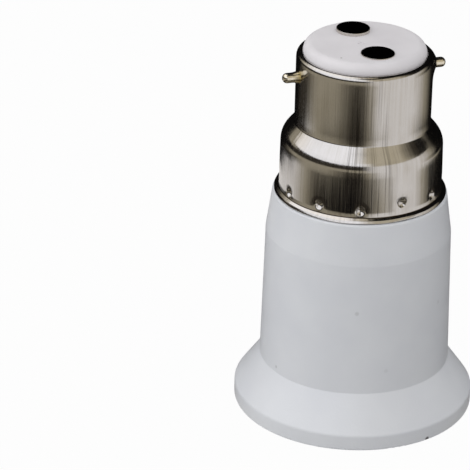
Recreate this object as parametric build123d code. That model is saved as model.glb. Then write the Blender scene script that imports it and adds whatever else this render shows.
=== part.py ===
from build123d import *
import os
from math import cos, radians, sin, sqrt

# Lamp socket adapter. The bayonet cap at its head goes into a bayonet lampholder,
# and the threaded brass socket in its flared mouth takes a screw-base lamp.
# It stands on the mouth: z = 0 is the plane of the rim and +Z runs up the axis.
# The bayonet pins lie along X and the two end contacts along Y. All sizes are in mm.

# Screw shell: a drawn brass cup with a 27 mm lamp thread formed in its wall.
SHELL_SHEET = 0.4
THREAD_MAJOR_RADIUS = 13.3
THREAD_DEPTH = 1.05
THREAD_PITCH = 3.629
THREAD_RIDGE_WIDTH = 2.6
THREAD_SHOULDER_WIDTH = 1.45
THREAD_CREST_WIDTH = 0.6
THREAD_CREST_HEIGHT = 0.3
THREAD_LENGTH = 14.2
CUP_RADIUS_UNDER_CREST = 0.1
CUP_WALL_LENGTH = 2.4
CUP_CORNER = 2.4
CUP_HOLE_RADIUS = 7.4
MOUTH_DEPTH = 9.6
SHELL_CLEARANCE = 0.2

# Moulded body: flared mouth, barrel, partition and the neck that fills the cap.
RIM_RADIUS = 19.55
RIM_WALL = 1.45
LIP_HEIGHT = 2.65
FLARE_LENGTH = 5.65
BARREL_WALL = 1.6
BARREL_DRAFT = 0.5
BARREL_LENGTH = 22.4
SHOULDER_LENGTH = 6.9
SHOULDER_MARGIN = 0.25
SHOULDER_ROUND = 3.0
PARTITION = 2.2
NECK_WALL = 1.35

# Bayonet cap: a two-step plated sleeve with a turned-out hem and an in-rolled rim.
CAP_SHEET = 0.4
CAP_RADIUS = 10.9
DRUM_RADIUS = 13.15
DRUM_TAPER = 0.15
HEM_WIDTH = 0.64
HEM_HEIGHT = 0.65
DRUM_LENGTH = 8.45
STEP_LENGTH = 2.5
CAP_LENGTH = 11.7
RIM_INTURN = 0.95
HEM_ROUND = 0.4
DRUM_ROUND = 0.9
STEP_ROUND = 0.4
CAP_RIM_ROUND = 0.9
CAP_CLEARANCE = 0.12
HEM_CLEARANCE = 0.05

# Crimp dimples that lock the cap to the neck. Each was punched by hand, a little above or below the row.
DIMPLE_WANDER = (0.1, -0.2, 0.3, 0.0, -0.3, 0.2, -0.4, -0.1, -0.2, 0.55, -0.05, 0.15)
DIMPLE_FIRST_ANGLE = 10.8
DIMPLE_HEIGHT = 1.75
DIMPLE_BALL = 0.85
DIMPLE_DEPTH = 0.45
DIMPLE_CLEARANCE = 0.12

# Bayonet pins, riveted through the cap's wall.
PIN_RADIUS = 0.85
PIN_SPAN = 27.5
PIN_BELOW_RIM = 3.15
PIN_TIP_ROUND = 0.5
PIN_COLLAR_RADIUS = 1.05
PIN_COLLAR_LENGTH = 0.6
PIN_HEAD_RADIUS = 1.6
PIN_HEAD_THICKNESS = 0.6
PIN_SLOT_CLEARANCE = 0.35

# Contact plate: the domed insulator that closes the cap's end.
DOME_CLEARANCE = 0.15
DOME_RISE = 1.65
DOME_ROUND = 1.4
PLATE_WEB = 2.25
SPIGOT_WALL = 0.95
SPIGOT_LENGTH = 1.4
PLATE_CLEARANCE = 0.2
LUG_WIDTH = 2.0
LUG_LENGTH = 1.1
GATE_MARK_RADIUS = 0.55
GATE_MARK_DEPTH = 0.12
GATE_MARK_X = -0.9
GATE_MARK_Y = -0.5

# Contact studs on the flat of the plate's dome. Their line is turned a little from the pins'
# square, and the front one is clinched deeper than the rear one.
STUD_MARGIN = 0.6
STUD_TURN = 3.0
STUD_HEAD_RADIUS = 2.7
STUD_FRONT_PROUD = 0.2
STUD_REAR_PROUD = 0.5
STUD_SHANK_RADIUS = 1.25
STUD_TAIL_RADIUS = 1.85
STUD_TAIL_THICKNESS = 0.7

# Rivets through the partition: two hold the screw shell, one the centre contact.
RIVET_SHANK_RADIUS = 0.8
RIVET_HEAD_RADIUS = 1.15
RIVET_HEAD_THICKNESS = 0.55
RIVET_TAIL_RADIUS = 1.4
RIVET_TAIL_THICKNESS = 0.7
RIVET_CIRCLE_RADIUS = 8.65
HOLE_CLEARANCE = 0.05

# Centre contact: one bent spring strip.
CONTACT_SHEET = 0.35
CONTACT_WIDTH = 3.8
CONTACT_FOOT_END = -5.4
CONTACT_RIVET_X = -3.7
CONTACT_BEND_X = -1.9
CONTACT_BEND_RADIUS = 0.9
CONTACT_KNEE_X = 1.9
CONTACT_KNEE_DROP = 1.9
CONTACT_KNEE_RADIUS = 1.6
CONTACT_TIP_X = 3.7
CONTACT_TIP_DROP = 1.6

# Insulated leads from the studs down to the rivets.
LEAD_RADIUS = 0.8
WIRE_RADIUS = 0.4
WIRE_BARE = 1.6
WIRE_CLEARANCE = 0.06
WIRE_IN_HOLE = 0.5
LEAD_BEND_RADIUS = 4.0
LEAD_STRAIGHT = 5.5

# Edges left by the mould and the press.
MOULD_EDGE = 0.5
LIP_ROUND = 0.8
FLARE_ROUND = 0.3
HEAD_EDGE = 0.15

# Heights and radii that follow from the sizes above.
thread_minor_radius = THREAD_MAJOR_RADIUS - THREAD_DEPTH
cup_radius = thread_minor_radius - CUP_RADIUS_UNDER_CREST
thread_end = MOUTH_DEPTH + THREAD_LENGTH
cup_wall_start = thread_end + THREAD_MAJOR_RADIUS - cup_radius
cup_corner_start = cup_wall_start + CUP_WALL_LENGTH
cup_floor = cup_corner_start + CUP_CORNER
partition_under = cup_floor + SHELL_SHEET
partition_top = partition_under + PARTITION

bore_radius = THREAD_MAJOR_RADIUS + SHELL_SHEET + SHELL_CLEARANCE
cup_bore_radius = cup_radius + SHELL_SHEET + SHELL_CLEARANCE
barrel_foot_radius = bore_radius + BARREL_WALL
barrel_head_radius = barrel_foot_radius - BARREL_DRAFT
flare_top = LIP_HEIGHT + FLARE_LENGTH
barrel_top = flare_top + BARREL_LENGTH
shoulder_top = barrel_top + SHOULDER_LENGTH

hem_radius = DRUM_RADIUS + HEM_WIDTH
shoulder_top_radius = hem_radius + SHOULDER_MARGIN
hem_bottom = shoulder_top + HEM_CLEARANCE + CAP_SHEET
drum_top = hem_bottom + HEM_HEIGHT + DRUM_LENGTH
step_top = drum_top + STEP_LENGTH
cap_top = step_top + CAP_LENGTH
cap_inner_radius = CAP_RADIUS - CAP_SHEET
inturn_radius = CAP_RADIUS - RIM_INTURN
dimple_z = hem_bottom + DIMPLE_HEIGHT
pin_z = cap_top - PIN_BELOW_RIM

neck_radius = cap_inner_radius - CAP_CLEARANCE
neck_drum_radius = DRUM_RADIUS - CAP_SHEET - CAP_CLEARANCE
neck_drum_top_radius = neck_drum_radius - DRUM_TAPER
neck_bore_radius = neck_radius - NECK_WALL
neck_drum_bore_radius = neck_drum_radius - NECK_WALL
step_drop = CAP_SHEET + CAP_CLEARANCE

ball_centre = DRUM_RADIUS + DIMPLE_BALL - DIMPLE_DEPTH
ball_outer = DIMPLE_BALL + CAP_SHEET
groove_radius = ball_centre - ball_outer - DIMPLE_CLEARANCE
bump_half = sqrt(ball_outer**2 - (ball_centre - neck_drum_radius) ** 2)
groove_half = bump_half + DIMPLE_CLEARANCE + max(abs(wander) for wander in DIMPLE_WANDER)

flange_top = cap_top - CAP_SHEET - HEM_CLEARANCE
plate_top = cap_top + DOME_RISE
web_under = plate_top - PLATE_WEB
plate_seat = web_under - SPIGOT_LENGTH / 2
dome_radius = inturn_radius - DOME_CLEARANCE
stud_circle_radius = dome_radius - DOME_ROUND - STUD_MARGIN - STUD_HEAD_RADIUS
stud_x = -stud_circle_radius * sin(radians(STUD_TURN))
stud_y = stud_circle_radius * cos(radians(STUD_TURN))
stud_end = web_under - STUD_TAIL_THICKNESS
wire_hole_depth = WIRE_IN_HOLE + HOLE_CLEARANCE


def turned(corners):
    """Solid turned about the adapter's axis from (radius, height, rounding) corners."""
    points = [(radius, height) for radius, height, rounding in corners]
    roundings = [rounding for radius, height, rounding in corners]
    outline = FilletPolyline(*points, radius=roundings, close=True)
    return revolve(Plane.XZ * make_face(outline.edges()), Axis.Z)


def sheet_outline(face_line, thickness, side):
    """Closed outline of a bent sheet, from the line of one of its faces."""
    outline = offset(face_line, amount=thickness, side=side, kind=Kind.INTERSECTION, closed=True)
    return make_face(outline.edges())


def post(radius, bottom, top):
    """Upright round post on the axis."""
    return Pos(0, 0, bottom) * Cylinder(radius, top - bottom, align=(Align.CENTER, Align.CENTER, Align.MIN))


def block(x_size, y_size, bottom, top):
    """Upright block centred on the axis."""
    centred = (Align.CENTER, Align.CENTER, Align.MIN)
    return Pos(0, 0, bottom) * Box(x_size, y_size, top - bottom, align=centred)


def placed_round(shape, lifts, first_angle):
    """Copies of a shape spaced evenly about the axis, each lifted by its own amount."""
    step = 360 / len(lifts)
    return [Rot(0, 0, first_angle + step * i) * Pos(0, 0, lift) * shape for i, lift in enumerate(lifts)]


def finish(shape, name):
    """Name a piece and write it to its own file."""
    shape.label = name
    export_step(shape, f"parts/{name}.step")


os.makedirs("parts", exist_ok=True)

# The cup's inner face runs from the mouth up the thread, in to the plain wall and over the floor.
cup_line = Polyline(
    (THREAD_MAJOR_RADIUS, MOUTH_DEPTH),
    (THREAD_MAJOR_RADIUS, thread_end),
    (cup_radius, cup_wall_start),
    (cup_radius, cup_corner_start),
    (cup_radius - CUP_CORNER, cup_floor),
    (CUP_HOLE_RADIUS, cup_floor),
)
cup = revolve(Plane.XZ * sheet_outline(cup_line, SHELL_SHEET, Side.RIGHT), Axis.Z)

# One helical ridge, run past both ends and trimmed inside the sheet, makes the right-hand thread.
ridge_start = MOUTH_DEPTH - THREAD_PITCH
ridge_base = THREAD_MAJOR_RADIUS + SHELL_SHEET / 4
ridge_shoulder = thread_minor_radius + THREAD_CREST_HEIGHT
ridge_outline = Polyline(
    (ridge_base, -THREAD_RIDGE_WIDTH / 2),
    (ridge_shoulder, -THREAD_SHOULDER_WIDTH / 2),
    (thread_minor_radius, -THREAD_CREST_WIDTH / 2),
    (thread_minor_radius, THREAD_CREST_WIDTH / 2),
    (ridge_shoulder, THREAD_SHOULDER_WIDTH / 2),
    (ridge_base, THREAD_RIDGE_WIDTH / 2),
    close=True,
)
ridge_length = cup_wall_start + THREAD_RIDGE_WIDTH - ridge_start
helix = Helix(THREAD_PITCH, ridge_length, THREAD_MAJOR_RADIUS, center=(0, 0, ridge_start))
ridge_plane = Plane(origin=(0, 0, ridge_start), x_dir=(1, 0, 0), z_dir=(0, -1, 0))
ridge = sweep(ridge_plane * make_face(ridge_outline.edges()), path=helix, is_frenet=True)
core = turned([
    (0, MOUTH_DEPTH, 0),
    (THREAD_MAJOR_RADIUS + SHELL_SHEET / 2, MOUTH_DEPTH, 0),
    (THREAD_MAJOR_RADIUS + SHELL_SHEET / 2, thread_end, 0),
    (cup_radius + SHELL_SHEET / 2, cup_wall_start, 0),
    (0, cup_wall_start, 0),
])
screw_shell = cup + (ridge & core)
shell_rivet_hole = post(RIVET_SHANK_RADIUS + HOLE_CLEARANCE, cup_floor - 1, partition_top + 1)
for side in (1, -1):
    screw_shell -= Pos(0, side * RIVET_CIRCLE_RADIUS, 0) * shell_rivet_hole
finish(screw_shell, "screw_shell")

# Body: outside from the rim up to the neck, then the neck's bore down to the partition,
# then the shell's seat and the flared mouth. A groove round the neck takes the cap's dimples.
seat_step = THREAD_MAJOR_RADIUS - cup_radius
body = turned([
    (RIM_RADIUS, 0, MOULD_EDGE),
    (RIM_RADIUS, LIP_HEIGHT, LIP_ROUND),
    (barrel_foot_radius, flare_top, FLARE_ROUND),
    (barrel_head_radius, barrel_top, SHOULDER_ROUND),
    (shoulder_top_radius, shoulder_top, MOULD_EDGE),
    (neck_drum_radius, shoulder_top, 0),
    (neck_drum_radius, dimple_z - groove_half, 0),
    (groove_radius, dimple_z - groove_half, 0),
    (groove_radius, dimple_z + groove_half, 0),
    (neck_drum_radius, dimple_z + groove_half, 0),
    (neck_drum_top_radius, drum_top - step_drop, 0),
    (neck_radius, step_top - step_drop, 0),
    (neck_radius, plate_seat, 0),
    (neck_bore_radius, plate_seat, 0),
    (neck_bore_radius, step_top - step_drop - NECK_WALL, 0),
    (neck_drum_bore_radius, drum_top - step_drop - NECK_WALL, 0),
    (neck_drum_bore_radius, partition_top, 0),
    (0, partition_top, 0),
    (0, partition_under, 0),
    (cup_bore_radius, partition_under, 0),
    (cup_bore_radius, cup_wall_start + SHELL_CLEARANCE, 0),
    (bore_radius, cup_wall_start + SHELL_CLEARANCE - seat_step, 0),
    (bore_radius, MOUTH_DEPTH, MOULD_EDGE),
    (RIM_RADIUS - RIM_WALL, LIP_HEIGHT / 2, LIP_ROUND),
    (RIM_RADIUS - RIM_WALL, 0, MOULD_EDGE),
])

# The neck takes the pin heads in slots and the plate's lugs in notches.
slot_half = PIN_HEAD_RADIUS + PIN_SLOT_CLEARANCE
slot = block(2 * CAP_RADIUS, 2 * slot_half, pin_z - slot_half, plate_seat + 1)
body -= slot - post(neck_bore_radius - NECK_WALL, 0, cap_top)
lug_gap = LUG_WIDTH + 2 * PLATE_CLEARANCE
notch = block(lug_gap, 2 * CAP_RADIUS, plate_seat - LUG_LENGTH - PLATE_CLEARANCE, plate_seat + 1)
body -= notch - post(neck_bore_radius - NECK_WALL, 0, cap_top)
rivet_hole = post(RIVET_SHANK_RADIUS + HOLE_CLEARANCE, partition_under - 1, partition_top + 1)
body -= Pos(CONTACT_RIVET_X, 0, 0) * rivet_hole
for side in (1, -1):
    body -= Pos(0, side * RIVET_CIRCLE_RADIUS, 0) * rivet_hole
finish(body, "body")

# Bayonet cap: outer face from the hem, up the drum, in over the step, up the sleeve and over the rim.
cap_line = FilletPolyline(
    (hem_radius, hem_bottom),
    (DRUM_RADIUS, hem_bottom + HEM_HEIGHT),
    (DRUM_RADIUS - DRUM_TAPER, drum_top),
    (CAP_RADIUS, step_top),
    (CAP_RADIUS, cap_top),
    (inturn_radius, cap_top),
    radius=[HEM_ROUND, DRUM_ROUND, STEP_ROUND, CAP_RIM_ROUND],
)
bayonet_cap = revolve(Plane.XZ * sheet_outline(cap_line, CAP_SHEET, Side.LEFT), Axis.Z)
dent_place = Pos(ball_centre, 0, dimple_z)
drum_inside = post(DRUM_RADIUS - CAP_SHEET / 2, hem_bottom, drum_top)
bump = (dent_place * Sphere(ball_outer)) & drum_inside
for dent in placed_round(bump, DIMPLE_WANDER, DIMPLE_FIRST_ANGLE):
    bayonet_cap += dent
for dent in placed_round(dent_place * Sphere(DIMPLE_BALL), DIMPLE_WANDER, DIMPLE_FIRST_ANGLE):
    bayonet_cap -= dent
pin_hole = Pos(0, 0, pin_z) * Rot(0, 90, 0) * Cylinder(PIN_RADIUS + HOLE_CLEARANCE, 2 * hem_radius)
bayonet_cap -= pin_hole
finish(bayonet_cap, "bayonet_cap")

# Bayonet pins: rounded tip, collar outside the wall, shank through it and a flat head inside.
collar_seat = CAP_RADIUS + HOLE_CLEARANCE
head_seat = sqrt(cap_inner_radius**2 - PIN_HEAD_RADIUS**2) - HOLE_CLEARANCE
pin_tip = PIN_SPAN / 2
pin_outline = FilletPolyline(
    (head_seat - PIN_HEAD_THICKNESS, 0),
    (head_seat - PIN_HEAD_THICKNESS, PIN_HEAD_RADIUS),
    (head_seat, PIN_HEAD_RADIUS),
    (head_seat, PIN_RADIUS),
    (collar_seat, PIN_RADIUS),
    (collar_seat, PIN_COLLAR_RADIUS),
    (collar_seat + PIN_COLLAR_LENGTH, PIN_RADIUS),
    (pin_tip, PIN_RADIUS),
    (pin_tip, 0),
    radius=[0, 0, 0, 0, 0, 0, 0, PIN_TIP_ROUND, 0],
    close=True,
)
pin = Pos(0, 0, pin_z) * revolve(make_face(pin_outline.edges()), Axis.X)
finish(pin, "bayonet_pin_right")
finish(Rot(0, 0, 180) * pin, "bayonet_pin_left")

# Contact plate: flange under the rolled rim, dome through it, spigot and lugs in the neck.
flange_radius = cap_inner_radius - PLATE_CLEARANCE
spigot_radius = neck_bore_radius - PLATE_CLEARANCE
contact_plate = turned([
    (0, web_under, 0),
    (spigot_radius - SPIGOT_WALL, web_under, 0),
    (spigot_radius - SPIGOT_WALL, plate_seat - SPIGOT_LENGTH, 0),
    (spigot_radius, plate_seat - SPIGOT_LENGTH, 0),
    (spigot_radius, plate_seat, 0),
    (flange_radius, plate_seat, 0),
    (flange_radius, flange_top - PLATE_CLEARANCE, 0),
    (flange_radius - PLATE_CLEARANCE, flange_top, 0),
    (dome_radius, flange_top, 0),
    (dome_radius, plate_top, DOME_ROUND),
    (0, plate_top, 0),
])
lug_ring = post(neck_radius, plate_seat - LUG_LENGTH, plate_seat)
lug_ring -= post(spigot_radius - SPIGOT_WALL / 2, plate_seat - LUG_LENGTH, plate_seat)
contact_plate += lug_ring & block(LUG_WIDTH, 2 * CAP_RADIUS, plate_seat - LUG_LENGTH, plate_seat)
for side in (1, -1):
    stud_hole = post(STUD_SHANK_RADIUS + HOLE_CLEARANCE, web_under - 1, plate_top + 1)
    contact_plate -= Pos(side * stud_x, side * stud_y, 0) * stud_hole
gate_mark = post(GATE_MARK_RADIUS, plate_top - GATE_MARK_DEPTH, plate_top + 1)
contact_plate -= Pos(GATE_MARK_X, GATE_MARK_Y, 0) * gate_mark
finish(contact_plate, "contact_plate")


def stud(proud):
    """Contact stud: flat head on the dome, shank through the web, clinched tail bored for the wire."""
    blank = turned([
        (0, stud_end, 0),
        (STUD_TAIL_RADIUS, stud_end, 0),
        (STUD_TAIL_RADIUS, web_under, 0),
        (STUD_SHANK_RADIUS, web_under, 0),
        (STUD_SHANK_RADIUS, plate_top, 0),
        (STUD_HEAD_RADIUS, plate_top, 0),
        (STUD_HEAD_RADIUS, plate_top + proud, HEAD_EDGE),
        (0, plate_top + proud, 0),
    ])
    return blank - post(WIRE_RADIUS + WIRE_CLEARANCE, stud_end - 1, stud_end + wire_hole_depth)


finish(Pos(stud_x, stud_y, 0) * stud(STUD_REAR_PROUD), "contact_stud_rear")
finish(Pos(-stud_x, -stud_y, 0) * stud(STUD_FRONT_PROUD), "contact_stud_front")


def rivet(grip_bottom):
    """Rivet with its head under the grip and its bored, clinched tail on the partition."""
    tail_end = partition_top + RIVET_TAIL_THICKNESS
    head_end = grip_bottom - RIVET_HEAD_THICKNESS
    blank = turned([
        (0, head_end, 0),
        (RIVET_HEAD_RADIUS, head_end, RIVET_HEAD_THICKNESS / 2),
        (RIVET_HEAD_RADIUS, grip_bottom, 0),
        (RIVET_SHANK_RADIUS, grip_bottom, 0),
        (RIVET_SHANK_RADIUS, partition_top, 0),
        (RIVET_TAIL_RADIUS, partition_top, 0),
        (RIVET_TAIL_RADIUS, tail_end, 0),
        (0, tail_end, 0),
    ])
    return blank - post(WIRE_RADIUS + WIRE_CLEARANCE, tail_end - wire_hole_depth, tail_end + 1)


shell_rivet = rivet(cup_floor)
finish(Pos(0, RIVET_CIRCLE_RADIUS, 0) * shell_rivet, "shell_rivet_rear")
finish(Pos(0, -RIVET_CIRCLE_RADIUS, 0) * shell_rivet, "shell_rivet_front")
contact_rivet = rivet(partition_under - CONTACT_SHEET)
finish(Pos(CONTACT_RIVET_X, 0, 0) * contact_rivet, "centre_contact_rivet")

# Centre contact: a foot on the partition, one bend, and a tongue that the lamp presses back.
strip_line = FilletPolyline(
    (CONTACT_FOOT_END, partition_under),
    (CONTACT_BEND_X, partition_under),
    (CONTACT_KNEE_X, partition_under - CONTACT_KNEE_DROP),
    (CONTACT_TIP_X, partition_under - CONTACT_TIP_DROP),
    radius=[CONTACT_BEND_RADIUS + CONTACT_SHEET, CONTACT_KNEE_RADIUS],
)
strip_face = sheet_outline(strip_line, CONTACT_SHEET, Side.RIGHT)
strip = extrude(Plane.XZ * strip_face, CONTACT_WIDTH / 2, both=True)
strip -= Pos(CONTACT_RIVET_X, 0, 0) * rivet_hole
finish(strip, "centre_contact")


def lead(stud_side, rivet_x, rivet_y):
    """Insulated lead with bare wire ends, from a stud's tail down to a rivet's tail."""
    top_end = stud_end + WIRE_IN_HOLE
    low_end = partition_top + RIVET_TAIL_THICKNESS - WIRE_IN_HOLE
    route = FilletPolyline(
        (stud_side * stud_x, stud_side * stud_y, top_end),
        (stud_side * stud_x, stud_side * stud_y, top_end - WIRE_BARE - LEAD_STRAIGHT),
        (rivet_x, rivet_y, low_end + WIRE_BARE + LEAD_STRAIGHT),
        (rivet_x, rivet_y, low_end),
        radius=LEAD_BEND_RADIUS,
    )
    start = Plane(origin=route @ 0, z_dir=route % 0)
    wire = sweep(start * Circle(WIRE_RADIUS), path=route)
    cover = sweep(start * Circle(LEAD_RADIUS), path=route)
    cover &= block(2 * neck_drum_radius, 2 * neck_drum_radius, low_end + WIRE_BARE, top_end - WIRE_BARE)
    return wire + cover


finish(lead(1, CONTACT_RIVET_X, 0), "live_lead")
finish(lead(-1, 0, -RIVET_CIRCLE_RADIUS), "neutral_lead")
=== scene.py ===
import logging
import math
from collections.abc import Sequence
from dataclasses import dataclass
from enum import Enum
from functools import cached_property

import bmesh
import bpy
import numpy as np
from mathutils import Matrix, Vector


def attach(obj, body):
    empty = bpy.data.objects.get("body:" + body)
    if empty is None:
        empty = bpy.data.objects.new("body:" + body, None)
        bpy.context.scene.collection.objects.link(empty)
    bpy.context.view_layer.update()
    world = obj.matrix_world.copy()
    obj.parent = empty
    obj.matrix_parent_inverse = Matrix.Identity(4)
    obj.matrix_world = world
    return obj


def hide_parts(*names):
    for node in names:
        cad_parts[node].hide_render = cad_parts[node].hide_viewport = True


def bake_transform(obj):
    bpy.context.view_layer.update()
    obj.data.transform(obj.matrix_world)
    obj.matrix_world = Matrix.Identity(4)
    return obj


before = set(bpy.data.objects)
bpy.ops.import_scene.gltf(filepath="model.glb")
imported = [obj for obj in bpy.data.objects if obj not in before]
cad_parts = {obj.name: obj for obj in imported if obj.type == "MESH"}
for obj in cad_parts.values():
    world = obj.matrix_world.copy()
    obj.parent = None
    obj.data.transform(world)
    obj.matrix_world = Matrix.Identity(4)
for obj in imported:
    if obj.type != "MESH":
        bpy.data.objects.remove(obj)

# Lamp socket adapter, standing on its flared mouth: a plated bayonet cap, a white
# moulded body and a threaded brass socket. Sizes in the classes are in millimetres,
# and everything made from them is in metres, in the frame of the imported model.

LOG = logging.getLogger("lamp_socket_adapter")
MM = 0.001
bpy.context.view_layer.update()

FULL_TURN = 2 * math.pi
ARC_STEP = math.radians(7)  # longest step round a rounded corner
ARC_POINTS = 5  # fewest points of a rounded corner
STRAIGHT = 1e-6  # a smaller turn is no corner
SHARP_EDGE = math.radians(40)
NOISE_SPAN = (0.3, 0.7)  # where nearly all values of a noise lie

MIX = "ShaderNodeMix"
MATH = "ShaderNodeMath"
BUMP = "ShaderNodeBump"
MAP_RANGE = "ShaderNodeMapRange"
VECTOR_MATH = "ShaderNodeVectorMath"
RGBA = {"data_type": "RGBA"}  # makes a mix one of two colours
SHARE, UNDER, OVER = 0, 6, 7  # its inputs

Piece = bpy.types.Object
Node = bpy.types.Node
Socket = bpy.types.NodeSocket
Source = Node | Socket
Inputs = dict[str | int, object]
Span = tuple[float, float]
Corner = tuple[float, float, float]
Spot = tuple[float, float, float, float, float]


class Body(Enum):
    """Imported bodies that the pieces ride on."""

    ADAPTER = "adapter"
    TONGUE = "contact_tongue"


class Side(Enum):
    """Side of the cap that a pin stands on, as its direction along X."""

    LEFT = -1
    RIGHT = 1


class Tone(Enum):
    """Plain tones of the studio's cards."""

    BLACK = "#0B0A0A"
    DARK = "#322D26"
    GREY = "#A19987"
    WHITE = "#E8E4E0"
    DAYLIGHT = "#E3E3E6"


BLACK, DARK, GREY, WHITE, DAYLIGHT = Tone


def linear(code: str) -> tuple[float, float, float, float]:
    """Turn a written colour into the one that a shader takes.

    Args:
        code: sRGB hex value.

    Returns:
        Linear red, green and blue, and full alpha.
    """
    parts = [int(code[i : i + 2], 16) / 255 for i in (1, 3, 5)]
    red, green, blue = (p / 12.92 if p <= 0.04045 else ((p + 0.055) / 1.055) ** 2.4 for p in parts)
    return red, green, blue, 1.0


@dataclass
class Drawing:
    """Node tree of a material or a world, in which its look is drawn."""

    owner: bpy.types.Material | bpy.types.World

    def __post_init__(self) -> None:
        """Start from an empty tree."""
        self.owner.use_nodes = True
        self.owner.node_tree.nodes.clear()

    def add(self, kind: str, inputs: Inputs | None = None, **properties: object) -> Node:
        """Add one node with its settings and links.

        Args:
            kind: Node type, as Blender names it.
            inputs: Value of each input socket, or the node or output socket that feeds it. A
                node feeds it from its first output in use.
            properties: Values of the node's own properties.

        Returns:
            The new node.
        """
        tree = self.owner.node_tree
        node = tree.nodes.new(kind)
        for key, value in properties.items():
            setattr(node, key, value)
        for key, value in (inputs or {}).items():
            if isinstance(value, Node):
                value = next(socket for socket in value.outputs if socket.enabled)
            if isinstance(value, Socket):
                tree.links.new(value, node.inputs[key])
            else:
                node.inputs[key].default_value = value
        return node

    @cached_property
    def place(self) -> Socket:
        """Position on the piece, in metres."""
        return self.add("ShaderNodeTexCoord").outputs["Object"]

    def uneven(
        self,
        patch: float | Corner,
        limits: Span = (0.0, 1.0),
        fineness: float = 2.0,
        place: Source | None = None,
    ) -> Node:
        """Value that wanders between two limits over patches of a real size.

        Args:
            patch: Size of a patch in mm, or its sizes along X, Y and Z.
            limits: Value in the hollows of the pattern and on its crests.
            fineness: How many finer octaves the pattern has.
            place: Position to draw it at, if not the plain one on the piece.

        Returns:
            The node that gives the value.
        """
        sizes = patch if isinstance(patch, tuple) else (patch,) * 3
        scale = tuple(1 / (size * MM) for size in sizes)
        where = self.place if place is None else place
        scaled = self.add("ShaderNodeMapping", {"Vector": where, "Scale": scale})
        noise = self.add("ShaderNodeTexNoise", {"Vector": scaled, "Scale": 1.0, "Detail": fineness})
        span = zip(("From Min", "From Max", "To Min", "To Max"), NOISE_SPAN + limits)
        return self.add(MAP_RANGE, {"Value": noise, **dict(span)})

    def seen_directly(self) -> Node:
        """Tell what the camera, a mirror or a clear piece shows from bounced light.

        Returns:
            The node that gives 1 for what is seen, and 0 for bounced light.
        """
        path = self.add("ShaderNodeLightPath").outputs
        rays = {0: path["Is Camera Ray"], 1: path["Is Glossy Ray"]}
        rays = {0: self.add(MATH, rays, operation="ADD"), 1: path["Is Transmission Ray"]}
        return self.add(MATH, rays, operation="ADD", use_clamp=True)


def rounded_line(corners: Sequence[Corner], step: float) -> np.ndarray:
    """Points along a line whose corners are rounded.

    Args:
        corners: First coordinate, second coordinate and rounding of each corner, in mm.
        step: Longest distance between two points of a straight run, in mm.

    Returns:
        Points in mm, one row each.
    """
    points = [np.array(corner[:2], float) for corner in corners]
    runs: list[np.ndarray] = [points[0][None]]
    for before, corner, after, (_, _, rounding) in zip(points, points[1:], points[2:], corners[1:]):
        into = (corner - before) / np.linalg.norm(corner - before)
        out = (after - corner) / np.linalg.norm(after - corner)
        turn = math.acos(float(np.clip(into @ out, -1, 1)))
        if rounding <= 0 or turn < STRAIGHT:
            runs.append(corner[None])
            continue
        start = corner - into * rounding * math.tan(turn / 2)
        side = out - into * (into @ out)
        centre = start + side / np.linalg.norm(side) * rounding
        sweep = np.linspace(0, turn, max(ARC_POINTS, math.ceil(turn / ARC_STEP)))[:, None]
        runs.append(centre + (start - centre) * np.cos(sweep) + into * rounding * np.sin(sweep))
    runs.append(points[-1][None])
    line = [runs[0]]
    for run in runs[1:]:
        gap = run[0] - line[-1][-1]
        count = max(1, math.ceil(np.linalg.norm(gap) / step))
        line.append(line[-1][-1] + gap * (np.arange(1, count + 1) / count)[:, None])
        if len(run) > 1:
            line.append(run[1:])
    return np.concatenate(line)


def beside(line: np.ndarray, distance: float) -> np.ndarray:
    """Line that runs beside another.

    Args:
        line: Points, one row each.
        distance: How far to the left of the line, or to its right where negative.

    Returns:
        Points of the new line, one row each.
    """
    along = np.gradient(line, axis=0)
    along /= np.linalg.norm(along, axis=1, keepdims=True)
    return line + distance * np.stack([-along[:, 1], along[:, 0]], axis=1)


def around(radii: np.ndarray, heights: np.ndarray, angles: np.ndarray) -> np.ndarray:
    """Points about the adapter's axis from radii and heights at each angle."""
    return np.stack([radii * np.cos(angles), radii * np.sin(angles), heights + 0 * angles], axis=-1)


def turned_from(angles: np.ndarray, degrees: float) -> np.ndarray:
    """Angles as turns from one of them, at most half a turn either way."""
    return (angles - math.radians(degrees) + math.pi) % FULL_TURN - math.pi


def ripple(angles: np.ndarray, waves: Sequence[Corner]) -> np.ndarray:
    """Sum of waves round a ring, each with its size, its count and its phase."""
    return np.sum([size * np.cos(count * angles + phase) for size, count, phase in waves], axis=0)


def eased(share: np.ndarray) -> np.ndarray:
    """Share from 0 to 1 that starts and ends gently, held outside that span."""
    held = np.clip(share, 0, 1)
    return held * held * (3 - 2 * held)


def round_faces(rows: np.ndarray, joined: bool) -> list[list[int]]:
    """Four-sided faces between rows of points that each run round.

    Args:
        rows: Points, shaped rows by points round each by 3.
        joined: Whether the last row meets the first.

    Returns:
        Point numbers of each face.
    """
    index = np.arange(rows[..., 0].size).reshape(rows.shape[:2])
    start, end = (index, np.roll(index, -1, 0)) if joined else (index[:-1], index[1:])
    faces = np.stack([start, end, np.roll(end, -1, 1), np.roll(start, -1, 1)], axis=-1)
    return faces.reshape(-1, 4).tolist()


def swept_piece(name: str, rows: np.ndarray, joined: bool) -> Piece:
    """Closed mesh through rows of points that each run round.

    Args:
        name: Name of the piece.
        rows: Points in mm, shaped rows by points round each by 3.
        joined: Whether the last row meets the first; if not, both ends get a flat face.

    Returns:
        The new object, smooth apart from its sharp edges.
    """
    faces = round_faces(rows, joined)
    if not joined:
        count, size = rows.shape[0] * rows.shape[1], rows.shape[1]
        faces += [list(range(size)), list(range(count - size, count))]
    return solid_piece(name, rows.reshape(-1, 3), faces)


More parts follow.
